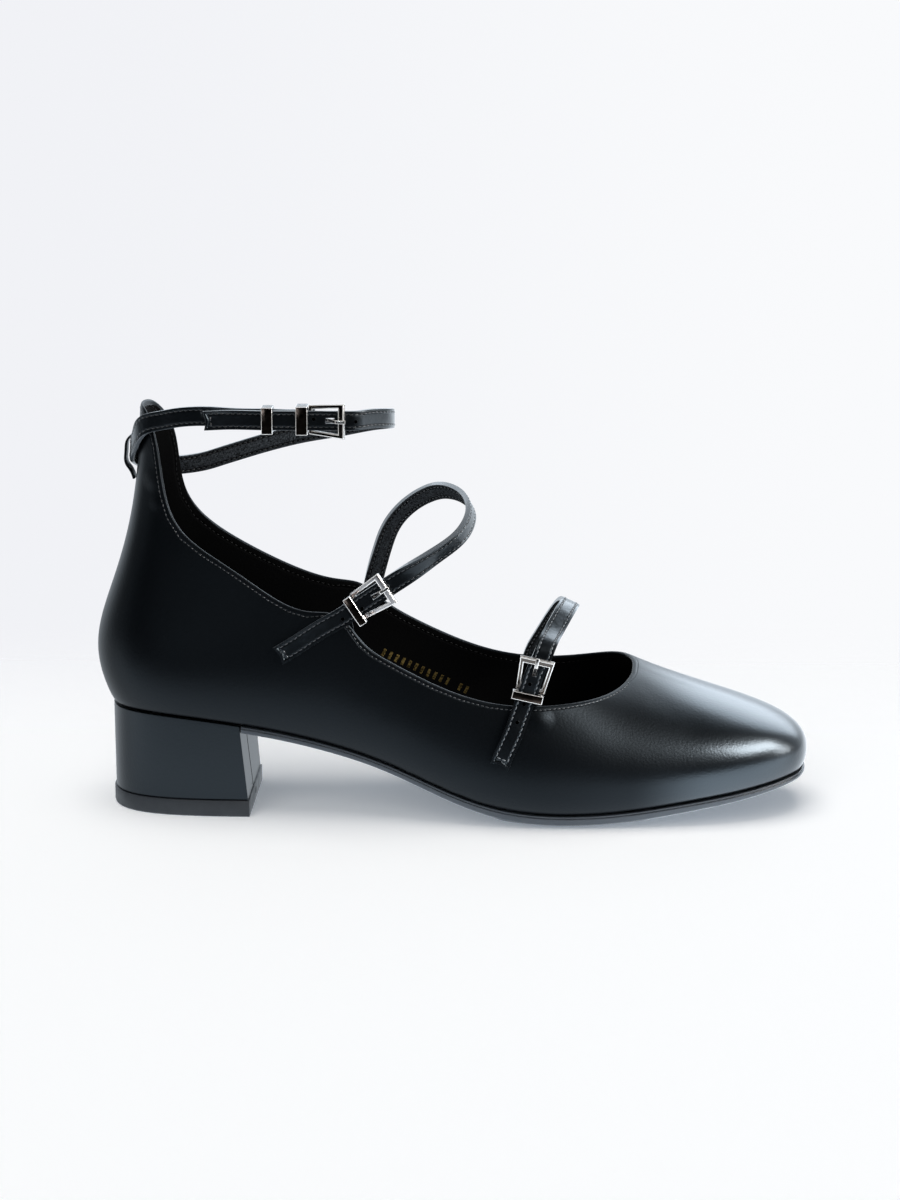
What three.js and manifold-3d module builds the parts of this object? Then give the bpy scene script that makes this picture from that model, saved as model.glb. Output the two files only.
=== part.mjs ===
// A right shoe: a block-heel pump with a soft square toe, a tall heel tab and three narrow buckled straps.
// Millimetres, +Z up, +X toward the toe, +Y toward the other foot, floor at Z = 0.
// While it is being built, X = 0 is the back of the heel; the finished group is set over the heel's middle.
import * as THREE from "three";
import { mergeVertices } from "three/addons/utils/BufferGeometryUtils.js";
import Module from "manifold-3d";

const wasm = await Module();
wasm.setup();

// Driving dimensions
const shoeLength = 260; // heel back to sole tip
const ballWidth = 76; // feather line, at the ball
const heelHeight = 38.7; // floor to the heel seat, at the back
const toeSpring = 11.3; // rise of the sole from the ball to the tip
const tabHeight = 111.2; // heel seat to the top of the tab
const wall = 1.8; // upper and its lining
const clearance = 0.3; // between neighbouring pieces
const insoleThickness = 2.4;
const insoleSlack = 0.65; // between the insole and the wall

const soleEdge = 3.4; // outsole at its edge, at the ball
const soleCrown = 1.4; // how far the outsole's middle stands below its edge
const soleFlatShare = 0.7; // share of the sole's width that is flat across
const soleLip = 0.6; // how far the lower step of the edge stands out past the feather line
const soleStep = 0.7; // height of the recessed step under the upper
const soleRound = 0.2; // share of the edge's height that its lower corner rounds off
const soleFlattened = 0.4; // part of the crown that the ground takes away

const breastPlace = 49.6; // heel breast at the seat, from the heel back
const heelFootLength = 52.2; // heel block just over its top piece
const heelFootShare = 0.925; // heel block's width there, of its width at the seat
const capHeight = 6.2; // top piece
const breastRake = (heelFootLength - breastPlace) / (heelHeight - capHeight);
const capProud = 0.5; // top piece past the heel block
const capBevel = 0.5;

const strapWidth = 7;
const strapThickness = 1.8;
const strapCrown = 0.12; // how far a strap's middle stands up from its edges
const strapNotch = 1.2; // how far a strap's cut end is notched at its middle
const tabThickness = 0.8; // thin leather of the buckle tabs
const tabTuck = 2.2; // how far a buckle tab runs on under the narrow bar
const tabBend = 1.2; // where it bends over, before that bar
const loopWidth = 6; // loop on the back of the heel tab
const loopThickness = 1;

const buckle = {
  length: 14.2,
  wide: 12.6, // at the front bar
  narrow: 10.6, // at the bar that the tab holds
  plate: 1.4,
  frontBar: 2.4,
  rail: 1.5,
  railGain: 0.2, // the rails are this much wider at the front bar
  bevel: 0.25,
  tiltRoom: 0.5, // what the plate's tilt takes at the edges of its bars
  keeperLength: 3,
  keeperWidth: 11.2,
  keeperWall: 0.8,
  prongWidth: 1.3,
  prongThick: 0.8,
  prongRoot: 0.25, // the prong's root stands off the narrow bar
  prongRise: 4, // from where it comes up to the front bar
  prongKnee: 0.7, // its bend, before the front bar
  prongTip: 0.9, // its tip, short of the plate's end
  prongSeat: 0.05, // its extra height over the front bar
  holeLength: 3.2, // the strap's hole for it
  holeShift: 0.9, // the hole's middle, past where the prong comes up
};
const ankleKeeperLength = 4.2;
const ankleKeeperEase = 0.4; // the ankle's keeper is narrower than the narrow bar by this
const layerGap = 0.6; // between the ankle strap's two layers
const sliderLength = 4;
const sliderPlace = 16.7; // from the ankle buckle's narrow bar back to the slider's far edge
const sliderRoom = 2.6; // slider's outside, past the strap's width
const sliderEase = 0.4; // its play over and under the two layers

// Heights at the ball that the thicknesses give
const seatAtBall = clearance + soleEdge + soleCrown - soleFlattened; // feather line over the floor
const seatLift = heelHeight - seatAtBall;

// Tables. A table has one row of numbers for each place, under the names of its columns.
function table(columns, rows) {
  return rows.map((row) => Object.fromEntries(row.map((value, i) => [columns[i], value])));
}

// Feather line from the side. Place is a share of the shoe's length, lift of the heel's rise, spring of the
// toe's, and edge of the outsole's thickness at the ball.
const treadRows = table(["place", "lift", "spring", "edge"], [
  [-0.0385, 0.994, 0, 0.7],
  [0, 1, 0, 0.7],
  [0.0462, 1.003, 0, 0.7],
  [0.0923, 0.982, 0, 0.7],
  [0.1385, 0.947, 0, 0.7],
  [0.1885, 0.895, 0, 0.7],
  [0.2308, 0.841, 0, 0.7],
  [0.2769, 0.768, 0, 0.72],
  [0.3308, 0.662, 0, 0.73],
  [0.3769, 0.556, 0, 0.74],
  [0.4231, 0.423, 0, 0.77],
  [0.4654, 0.284, 0, 0.82],
  [0.5115, 0.147, 0, 0.9],
  [0.5577, 0.052, 0, 0.97],
  [0.6077, 0.007, 0, 1],
  [0.6538, 0, 0, 1],
  [0.7308, 0, 0.1, 1],
  [0.8192, 0, 0.367, 0.93],
  [0.8962, 0, 0.617, 0.78],
  [0.9654, 0, 0.9, 0.56],
  [0.9885, 0, 1, 0.5],
  [1.0577, 0, 1.317, 0.4],
]);

// Places round the shoe run from 0 at the heel back, along the outer side, to 21 at the toe and back to 42.
const toePlace = 21;
const fullRound = 42;

// Feather line from above: x in shares of the shoe's length, y of the ball's width, outer side negative.
const footRows = table(["place", "x", "y"], [
  [0, 0.0012, 0.0],
  [2, 0.0192, -0.204],
  [4, 0.0731, -0.322],
  [6, 0.1615, -0.359],
  [9, 0.3192, -0.366],
  [12, 0.4654, -0.437],
  [14, 0.6154, -0.495],
  [16, 0.7769, -0.461],
  [18, 0.9192, -0.345],
  [19, 0.9654, -0.243],
  [20, 0.9846, -0.132],
  [21, 0.9896, 0.004],
  [22, 0.9862, 0.138],
  [23, 0.9692, 0.243],
  [24, 0.925, 0.329],
  [26, 0.7769, 0.447],
  [28, 0.6154, 0.478],
  [30, 0.4654, 0.366],
  [33, 0.3192, 0.289],
  [36, 0.1615, 0.333],
  [38, 0.0731, 0.316],
  [40, 0.0192, 0.204],
]);

// Rim of the collar and throat: rise is its height over the feather line, in shares of the tab's height.
const rimRows = table(["place", "x", "y", "rise"], [
  [0, 0.0487, 0, 1],
  [1, 0.0527, -0.105, 0.9965],
  [2, 0.0635, -0.175, 0.9686],
  [3, 0.077, -0.224, 0.8824],
  [4, 0.0875, -0.263, 0.7323],
  [5, 0.115, -0.307, 0.6038],
  [6, 0.1781, -0.355, 0.5242],
  [8, 0.2885, -0.413, 0.4327],
  [9, 0.3327, -0.424, 0.4553],
  [10, 0.3646, -0.434, 0.3882],
  [11, 0.4019, -0.447, 0.3574],
  [12, 0.4654, -0.461, 0.3444],
  [14, 0.6154, -0.454, 0.3611],
  [16, 0.7038, -0.296, 0.3718],
  [18, 0.7369, -0.125, 0.3914],
  [21, 0.7454, 0.007, 0.4088],
  [24, 0.7423, 0.158, 0.4222],
  [26, 0.7115, 0.316, 0.4179],
  [28, 0.6154, 0.434, 0.3844],
  [30, 0.4654, 0.434, 0.3857],
  [32, 0.3788, 0.418, 0.4206],
  [33, 0.3481, 0.411, 0.4539],
  [34, 0.3077, 0.4, 0.4414],
  [36, 0.1808, 0.355, 0.5144],
  [37, 0.1172, 0.316, 0.6065],
  [38, 0.0902, 0.257, 0.7459],
  [39, 0.0857, 0.216, 0.8942],
  [40, 0.068, 0.171, 0.971],
  [41, 0.0545, 0.105, 0.9965],
]);

// How the wall leaves the feather line and meets the rim: degrees from upright, and pulls in shares of its
// chord.
const wallRows = table(["place", "lowLean", "lowPull", "highLean", "highPull"], [
  [0, 26, 0.364, 0.5, 0.67],
  [2, 28, 0.34, 1, 0.62],
  [4, 32, 0.3, 3, 0.5],
  [6, 30, 0.35, 4, 0.36],
  [9, 35, 0.35, 5, 0.34],
  [12, 35, 0.35, 11, 0.34],
  [14, 38, 0.35, 25, 0.35],
  [15, 36, 0.36, 42, 0.35],
  [16, 33, 0.37, 55, 0.38],
  [18, 26, 0.36, 67, 0.55],
  [19.5, 22, 0.3, 70.5, 0.67],
  [21, 21.4, 0.275, 71.7, 0.73],
  [22.5, 22, 0.3, 70, 0.67],
  [24, 26, 0.36, 66, 0.55],
  [26, 33, 0.37, 52, 0.38],
  [27, 36, 0.36, 40, 0.35],
  [28, 38, 0.35, 24, 0.35],
  [30, 40, 0.35, 8, 0.34],
  [33, 42, 0.35, 3, 0.34],
  [36, 34, 0.35, 3, 0.36],
  [38, 32, 0.3, 3, 0.5],
  [40, 28, 0.34, 1, 0.62],
]);

// Free stretches of the straps. Across runs from one rim to the other, up and forward in shares of the rise;
// sideX, sideY and sideZ are the direction of the band's width.
const loopColumns = ["across", "up", "forward", "sideX", "sideY", "sideZ"];
const frontRise = 33.5;
const frontLoopRows = table(loopColumns, [
  [0.17, 0.72, 0.265, -0.9, -0.1, 0.38],
  [0.36, 0.88, 0.4, -0.87, -0.15, 0.45],
  [0.52, 0.86, 0.44, -0.88, -0.1, 0.44],
  [0.67, 0.77, 0.38, -0.9, 0, 0.4],
  [0.81, 0.57, 0.28, -0.93, 0, 0.33],
  [0.93, 0.28, 0.14, -0.95, 0, 0.3],
]);
const middleRise = 44;
const middleLoopRows = table(loopColumns, [
  [0.02, 0.485, 0.715, -0.5, -0.6, 0.62],
  [0.08, 0.66, 0.95, -0.4, -0.75, 0.5],
  [0.22, 0.81, 1.01, -0.25, -0.85, 0.45],
  [0.4, 0.92, 0.92, -0.25, -0.65, 0.7],
  [0.58, 0.95, 0.69, -0.4, -0.4, 0.8],
  [0.75, 0.81, 0.41, -0.65, -0.45, 0.6],
  [0.86, 0.6, 0.21, -0.75, -0.5, 0.4],
  [0.95, 0.32, 0.09, -0.85, -0.4, 0.3],
]);
// The straps through their buckles, from the rim on: along is a share of the buckle's length past the narrow
// bar's outer edge, and slide a share of the strap's width, toward the heel.
const frontThreadRows = table(["along", "slide"], [
  [-0.38, 0.17],
  [-0.106, 0.13],
  [0.141, 0.05],
  [0.5, -0.01],
  [1, -0.25],
  [1.211, -0.28],
]);
const middleThreadRows = table(["along", "slide"], [
  [-0.507, 0],
  [-0.106, 0],
  [0.141, 0],
  [0.5, 0],
  [1, 0],
  [1.211, 0],
]);
// Ankle strap: x in shares of the shoe's length, y of the ball's width, z of the tab's top over the floor.
const ankleInnerRows = table(["x", "y", "z"], [
  [0.2385, -0.325, 0.985],
  [0.1923, -0.327, 0.986],
  [0.1527, -0.313, 0.989],
  [0.1169, -0.28, 0.984],
  [0.0892, -0.241, 0.973],
]);
const ankleFarRows = table(["x", "y", "z"], [
  [0.125, 0.303, 0.827],
  [0.1565, 0.303, 0.844],
  [0.2142, 0.316, 0.874],
  [0.2646, 0.322, 0.896],
  [0.3223, 0.289, 0.916],
  [0.3677, 0.197, 0.938],
  [0.4004, 0.0, 0.960],
  [0.3988, -0.184, 0.976],
  [0.375, -0.296, 0.983],
]);
const ankleTailRows = table(["x", "y", "z"], [
  [0.2296, -0.363, 0.983],
  [0.1846, -0.36, 0.984],
  [0.1485, -0.346, 0.980],
]);
// Where the ankle strap lies on the heel tab: height in shares of the tab's top, ease is its extra distance.
const ankleWrapRows = table(["place", "height", "ease"], [
  [2.1, 0.957, 0.7],
  [1, 0.911, 0.7],
  [0, 0.877, 1.25],
  [-1, 0.851, 0.8],
  [-2, 0.834, 0.5],
  [-3.2, 0.82, 1.3],
]);

// The loop on the tab's back: height in shares of the tab's top, stand from 0 on the leather to 1 over the
// strap.
const loopStandRows = table(["height", "stand"], [
  [0.943, 0],
  [0.925, 0.19],
  [0.908, 1.06],
  [0.877, 1.13],
  [0.848, 1.08],
  [0.831, 0.4],
  [0.811, 0],
]);

// A smooth curve through one column of a table. With a period it closes on itself.
function curveThrough(rows, column, period = 0) {
  const count = rows.length;
  const at = rows.map((row) => row.place);
  const value = rows.map((row) => row[column]);
  const spans = period ? count : count - 1;
  const step = (i) => (i + 1 < count ? at[i + 1] - at[i] : at[0] + period - at[i]);
  const rise = (i) => (value[(i + 1) % count] - value[i]) / step(i);
  const system = rows.map(() => new Array(count + 1).fill(0));
  for (let i = 0; i < count; i++) {
    const before = (i + count - 1) % count;
    if (!period && (i === 0 || i === count - 1)) {
      system[i][i] = 1;
      continue;
    }
    system[i][before] += step(before);
    system[i][i] += 2 * (step(before) + step(i));
    system[i][(i + 1) % count] += step(i);
    system[i][count] = 6 * (rise(i) - rise(before));
  }
  const bend = solve(system);
  return (place) => {
    const p = period ? THREE.MathUtils.euclideanModulo(place - at[0], period) + at[0] : place;
    let i = 0;
    while (i < spans - 1 && p >= at[i + 1]) i++;
    const h = step(i);
    const b = (p - at[i]) / h;
    const a = 1 - b;
    const curve = (a ** 3 - a) * bend[i] + (b ** 3 - b) * bend[(i + 1) % count];
    return a * value[i] + b * value[(i + 1) % count] + (curve * h * h) / 6;
  };
}

// Gaussian elimination on rows that each end with their right-hand side.
function solve(system) {
  const count = system.length;
  for (let i = 0; i < count; i++) {
    let pivot = i;
    for (let j = i + 1; j < count; j++) {
      if (Math.abs(system[j][i]) > Math.abs(system[pivot][i])) pivot = j;
    }
    [system[i], system[pivot]] = [system[pivot], system[i]];
    for (let j = i + 1; j < count; j++) {
      const share = system[j][i] / system[i][i];
      for (let k = i; k <= count; k++) system[j][k] -= share * system[i][k];
    }
  }
  const found = new Array(count).fill(0);
  for (let i = count - 1; i >= 0; i--) {
    let rest = system[i][count];
    for (let k = i + 1; k < count; k++) rest -= system[i][k] * found[k];
    found[i] = rest / system[i][i];
  }
  return found;
}

// The last: feather line, rim and wall
const tread = {
  lift: curveThrough(treadRows, "lift"),
  spring: curveThrough(treadRows, "spring"),
  edge: curveThrough(treadRows, "edge"),
};
const foot = { x: curveThrough(footRows, "x", fullRound), y: curveThrough(footRows, "y", fullRound) };
const rim = {
  x: curveThrough(rimRows, "x", fullRound),
  y: curveThrough(rimRows, "y", fullRound),
  rise: curveThrough(rimRows, "rise", fullRound),
};
const lean = {
  low: curveThrough(wallRows, "lowLean", fullRound),
  high: curveThrough(wallRows, "highLean", fullRound),
};
const pull = {
  low: curveThrough(wallRows, "lowPull", fullRound),
  high: curveThrough(wallRows, "highPull", fullRound),
};

// Height of the feather line at a distance from the heel back.
function seatHeight(x) {
  const place = x / shoeLength;
  return seatAtBall + seatLift * tread.lift(place) + toeSpring * tread.spring(place);
}

function footPoint(place) {
  const x = foot.x(place) * shoeLength;
  return new THREE.Vector3(x, foot.y(place) * ballWidth, seatHeight(x));
}

function rimPoint(place) {
  const x = rim.x(place) * shoeLength;
  return new THREE.Vector3(x, rim.y(place) * ballWidth, seatHeight(x) + rim.rise(place) * tabHeight);
}

// Direction that points away from the shoe in plan, square to a ring of points.
function outwardOf(ring, place) {
  const nudge = 0.05;
  const along = ring(place + nudge).sub(ring(place - nudge));
  return new THREE.Vector3(along.y, -along.x, 0).normalize();
}

// The upper's outer surface: climb is 0 on the feather line and 1 on the rim.
function outerPoint(place, climb) {
  const low = footPoint(place);
  const high = rimPoint(place);
  const chord = low.distanceTo(high);
  const lowLean = THREE.MathUtils.degToRad(lean.low(place));
  const highLean = THREE.MathUtils.degToRad(lean.high(place));
  const lowHandle = outwardOf(footPoint, place).multiplyScalar(Math.sin(lowLean));
  lowHandle.z = Math.cos(lowLean);
  const highHandle = outwardOf(rimPoint, place).multiplyScalar(Math.sin(highLean));
  highHandle.z = -Math.cos(highLean);
  lowHandle.multiplyScalar(chord * pull.low(place)).add(low);
  highHandle.multiplyScalar(chord * pull.high(place)).add(high);
  return new THREE.CubicBezierCurve3(low, lowHandle, highHandle, high).getPoint(climb);
}

function surfaceNormal(place, climb) {
  const nudge = 0.02;
  const c = THREE.MathUtils.clamp(climb, nudge, 1 - nudge);
  const around = outerPoint(place + nudge, c).sub(outerPoint(place - nudge, c));
  const upward = outerPoint(place, c + nudge).sub(outerPoint(place, c - nudge));
  return around.cross(upward).normalize();
}

// A point off the outer surface: a positive offset stands outside, a negative one inside the wall.
function offSurface(place, climb, offset) {
  return outerPoint(place, climb).addScaledVector(surfaceNormal(place, climb), offset);
}

// The climb at which the wall, at some offset, reaches a height.
function climbToHeight(place, height, offset) {
  let low = 0;
  let high = 1;
  for (let i = 0; i < 24; i++) {
    const middle = (low + high) / 2;
    if (offSurface(place, middle, offset).z < height) low = middle;
    else high = middle;
  }
  return low;
}

// The place on one side of the shoe where the feather line has this distance from the heel back.
function placeAtDistance(x, inner) {
  let near = 0;
  let far = toePlace;
  for (let i = 0; i < 24; i++) {
    const middle = (near + far) / 2;
    if (footPoint(inner ? fullRound - middle : middle).x < x) near = middle;
    else far = middle;
  }
  return inner ? fullRound - near : near;
}

// Meshes
// Welds a list of corners into a closed geometry, with its faces turned outwards.
function weld(corners, faces) {
  const loose = new THREE.BufferGeometry();
  const positions = faces.flatMap((face) => face.flatMap((i) => corners[i].toArray()));
  loose.setAttribute("position", new THREE.Float32BufferAttribute(positions, 3));
  const merged = mergeVertices(loose, 1e-3);
  const index = [...merged.index.array];
  const kept = [];
  for (let i = 0; i < index.length; i += 3) {
    const [a, b, c] = index.slice(i, i + 3);
    if (a !== b && b !== c && c !== a) kept.push(a, b, c);
  }
  const at = (i) => new THREE.Vector3().fromBufferAttribute(merged.attributes.position, i);
  let volume = 0;
  for (let i = 0; i < kept.length; i += 3) volume += at(kept[i]).dot(at(kept[i + 1]).cross(at(kept[i + 2])));
  if (volume < 0) kept.reverse();
  merged.setIndex(kept);
  return merged;
}

// A solid through closed sections of equal count. Ends that have shrunk to a line close themselves.
function loft(sections, endAxes) {
  const count = sections[0].length;
  const corners = sections.flat();
  const faces = [];
  for (let s = 0; s + 1 < sections.length; s++) {
    for (let i = 0; i < count; i++) {
      const a = s * count + i;
      const b = s * count + ((i + 1) % count);
      faces.push([a, b, b + count], [a, b + count, a + count]);
    }
  }
  const close = (s, flip) => {
    const [u, v] = endAxes;
    const outline = sections[s].map((p) => new THREE.Vector2(p.dot(u), p.dot(v)));
    if (Math.abs(THREE.ShapeUtils.area(outline)) < 1e-3) return;
    for (const [a, b, c] of THREE.ShapeUtils.triangulateShape(outline, [])) {
      const face = [s * count + a, s * count + b, s * count + c];
      faces.push(flip ? face.reverse() : face);
    }
  };
  const clockwise = THREE.ShapeUtils.isClockWise(
    sections[1].map((p) => new THREE.Vector2(p.dot(endAxes[0]), p.dot(endAxes[1]))),
  );
  close(0, !clockwise);
  close(sections.length - 1, clockwise);
  return weld(corners, faces);
}

// The upper is a sheet of (place, climb), given its wall and closed along its two edges.
function upperGeometry() {
  const around = 84;
  const climbs = [0, 0.09, 0.19, 0.3, 0.42, 0.54, 0.66, 0.77, 0.87, 0.95, 1];
  const rimFold = 0.35; // rounding of the folded edge
  const belowRim = 0.98;
  const columns = [];
  for (let i = 0; i < around; i++) {
    const place = (i * fullRound) / around;
    const outer = climbs.map((climb) => offSurface(place, climb, 0));
    const inner = climbs.map((climb) => offSurface(place, climb, -wall)).reverse();
    const top = offSurface(place, 1, -wall / 2);
    const upward = outerPoint(place, 1).sub(outerPoint(place, belowRim)).normalize();
    top.addScaledVector(upward, rimFold);
    columns.push([...outer, top, ...inner]);
  }
  const count = columns[0].length;
  const corners = columns.flat();
  const faces = [];
  for (let i = 0; i < around; i++) {
    const j = (i + 1) % around;
    for (let k = 0; k < count; k++) {
      const l = (k + 1) % count;
      const [a, b, c, d] = [i * count + k, j * count + k, j * count + l, i * count + l];
      faces.push([a, b, c], [a, c, d]);
    }
  }
  return weld(corners, faces);
}

// Pairs of places across the sole, from one distance from the heel back to the toe or the heel back.
function crossings(fromPlaces, toPlaces, count) {
  return Array.from({ length: count + 1 }, (_, i) => {
    const share = i / count;
    return fromPlaces.map((from, side) => THREE.MathUtils.lerp(from, toPlaces[side], share));
  });
}

const soleSections = 30;
const insoleSections = 34;
const heelSections = 14;
const across = (a, b, share) => new THREE.Vector3().lerpVectors(a, b, share);
const axisY = new THREE.Vector3(0, 1, 0);
const axisZ = new THREE.Vector3(0, 0, 1);

// A feather-line point moved outwards in plan and set to its own height.
function edgePoint(place, outwards, z) {
  const point = footPoint(place).addScaledVector(outwardOf(footPoint, place), outwards);
  point.z = z;
  return point;
}

function outsoleGeometry() {
  const start = breastPlace + clearance + breastRake * (soleEdge + soleCrown);
  const topShares = [0.25, 0.5, 0.75];
  const flatEdge = (1 - soleFlatShare) / 2;
  const bottomShares = [flatEdge / 2, flatEdge, 0.5, 1 - flatEdge, 1 - flatEdge / 2];
  const bottomCrowns = [0.6, 1, 1, 1, 0.6];
  const ends = [placeAtDistance(start, false), placeAtDistance(start, true)];
  const sections = crossings(ends, [toePlace, toePlace], soleSections).map(([outer, inner]) => {
    const top = seatHeight(footPoint(outer).x) - clearance;
    const edge = soleEdge * tread.edge(footPoint(outer).x / shoeLength);
    const bottom = Math.max(0, top - edge);
    const side = (place) => [
      edgePoint(place, 0, top),
      edgePoint(place, 0, top - soleStep),
      edgePoint(place, soleLip, top - soleStep),
      edgePoint(place, soleLip, bottom + edge * soleRound),
      edgePoint(place, soleLip - edge * soleRound, bottom),
    ];
    const [near, far] = [side(outer), side(inner)];
    const under = bottomShares.map((share, i) => {
      const point = across(near[4], far[4], share);
      point.z = Math.max(0, bottom - soleCrown * bottomCrowns[i]);
      return point;
    });
    const over = topShares.map((share) => across(far[0], near[0], share));
    return [...near, ...under, ...far.reverse(), ...over];
  });
  return loft(sections, [axisY, axisZ]);
}

// The insole's edge follows the inside of the upper's wall, so it widens with it.
function insoleEdge(place, height) {
  const base = footPoint(place).z;
  const climb = climbToHeight(place, base + height, -wall);
  const point = offSurface(place, climb, -wall - insoleSlack);
  point.z = base + height;
  return point;
}

function insoleGeometry() {
  const heights = [clearance, clearance + insoleThickness];
  const shares = [0.08, 0.3, 0.5, 0.7, 0.92];
  const sections = crossings([0, fullRound], [toePlace, toePlace], insoleSections).map(([outer, inner]) => {
    const near = heights.map((height) => insoleEdge(outer, height));
    const far = heights.map((height) => insoleEdge(inner, height));
    const over = shares.map((share) => across(near[1], far[1], share));
    const under = shares.map((share) => across(far[0], near[0], share));
    return [...near, ...over, far[1], far[0], ...under];
  });
  return loft(sections, [axisY, axisZ]);
}

// The heel block's foot has the seat's outline, drawn in a little and run forward to the raked breast.
function heelFootPoint(place, outwards, z) {
  const seat = footPoint(place);
  const point = new THREE.Vector3((seat.x * heelFootLength) / breastPlace, seat.y * heelFootShare, z);
  return point.addScaledVector(outwardOf(footPoint, place), outwards);
}

function heelGeometry() {
  const rows = [0, 0.33, 0.66, 1];
  const shares = [0.2, 0.4, 0.6, 0.8];
  const ends = [placeAtDistance(breastPlace, false), placeAtDistance(breastPlace, true)];
  const sections = crossings([0, fullRound], ends, heelSections).map(([outer, inner]) => {
    const side = (place) => {
      const seat = footPoint(place);
      seat.z -= clearance;
      const ground = heelFootPoint(place, 0, capHeight + clearance);
      return rows.map((row) => across(seat, ground, row));
    };
    const [near, far] = [side(outer), side(inner)];
    const under = shares.map((share) => across(near.at(-1), far.at(-1), share));
    const over = shares.map((share) => across(far[0], near[0], share));
    return [...near, ...under, ...far.reverse(), ...over];
  });
  return loft(sections, [axisY, axisZ]);
}

function heelCapGeometry() {
  const shares = [0.25, 0.5, 0.75];
  const ends = [placeAtDistance(breastPlace, false), placeAtDistance(breastPlace, true)];
  const sections = crossings([0, fullRound], ends, heelSections).map(([outer, inner], i, all) => {
    const forward = i === all.length - 1 ? capProud : 0;
    const side = (place) => [
      heelFootPoint(place, capProud, capHeight),
      heelFootPoint(place, capProud, capBevel),
      heelFootPoint(place, capProud - capBevel, 0),
    ];
    const [near, far] = [side(outer), side(inner)];
    const under = shares.map((share) => across(near[2], far[2], share));
    const over = shares.map((share) => across(far[0], near[0], share));
    const section = [...near, ...under, ...far.reverse(), ...over];
    section.forEach((point) => (point.x += forward));
    return section;
  });
  return loft(sections, [axisY, axisZ]);
}

// A flat band along points, each with the direction that its width takes there.
function bandGeometry(route, width, thickness, pitch, notch = 0) {
  const path = new THREE.CatmullRomCurve3(route.map((stop) => stop.at), false, "centripetal");
  const sides = new THREE.CatmullRomCurve3(route.map((stop) => stop.side), false, "centripetal");
  const steps = Math.round(path.getLength() / pitch);
  const sections = [];
  for (let i = 0; i <= steps; i++) {
    const t = path.getUtoTmapping(i / steps);
    const along = path.getTangent(t);
    const side = sides.getPoint(t);
    side.addScaledVector(along, -side.dot(along)).normalize();
    const face = new THREE.Vector3().crossVectors(along, side);
    const corner = (s, f) =>
      path.getPoint(t).addScaledVector(side, (s * width) / 2).addScaledVector(face, f * (thickness / 2));
    const crowned = 1 + (2 * strapCrown) / thickness;
    const under = [corner(-1, -1), corner(0, -1), corner(1, -1)];
    const section = [...under, corner(1, 1), corner(0, crowned), corner(-1, 1)];
    const pulled = i === 0 ? notch : i === steps ? -notch : 0;
    section[1].addScaledVector(along, pulled);
    section[4].addScaledVector(along, pulled);
    sections.push(section);
  }
  return bandLoft(sections);
}

// A band's two ends face different ways, so each is closed by a fan of its own.
function bandLoft(sections) {
  const count = sections[0].length;
  const faces = [];
  for (let s = 0; s + 1 < sections.length; s++) {
    for (let i = 0; i < count; i++) {
      const a = s * count + i;
      const b = s * count + ((i + 1) % count);
      faces.push([a, b, b + count], [a, b + count, a + count]);
    }
  }
  const last = (sections.length - 1) * count;
  const fan = [[1, 2, 3], [1, 3, 4], [1, 4, 5], [1, 5, 0]];
  for (const [a, b, c] of fan) {
    faces.push([c, b, a], [last + a, last + b, last + c]);
  }
  return weld(sections.flat(), faces);
}

// Solids for joining and cutting
function solidOf(geometry) {
  const plain = geometry.clone();
  for (const name of Object.keys(plain.attributes)) {
    if (name !== "position") plain.deleteAttribute(name);
  }
  const merged = mergeVertices(plain, 1e-4);
  return new wasm.Manifold(
    new wasm.Mesh({
      numProp: 3,
      vertProperties: new Float32Array(merged.attributes.position.array),
      triVerts: new Uint32Array(merged.index.array),
    }),
  );
}

function geometryOf(solid) {
  const made = solid.getMesh();
  const geometry = new THREE.BufferGeometry();
  geometry.setAttribute("position", new THREE.BufferAttribute(made.vertProperties, 3));
  geometry.setIndex(new THREE.BufferAttribute(made.triVerts, 1));
  return geometry;
}

function boxAt(size, frame, centre) {
  const box = new THREE.BoxGeometry(size.x, size.y, size.z);
  box.translate(centre.x, centre.y, centre.z);
  return solidOf(box.applyMatrix4(frame));
}

// A buckle's own frame: X runs along the strap to the front bar, Y across it, Z away from the shoe.
// Its origin is on the strap's middle, over the outer edge of the narrow bar.
function buckleFrame(origin, along, away) {
  const x = along.clone().normalize();
  const z = away.clone().addScaledVector(x, -away.dot(x)).normalize();
  const y = new THREE.Vector3().crossVectors(z, x);
  return new THREE.Matrix4().makeBasis(x, y, z).setPosition(origin);
}

// Plate to strap, middle to middle
const plateShift = strapThickness / 2 + strapCrown + clearance + buckle.tiltRoom + buckle.plate / 2;
const plateTilt = Math.asin((2 * plateShift) / (buckle.length - buckle.frontBar / 2 - buckle.rail / 2));

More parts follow.
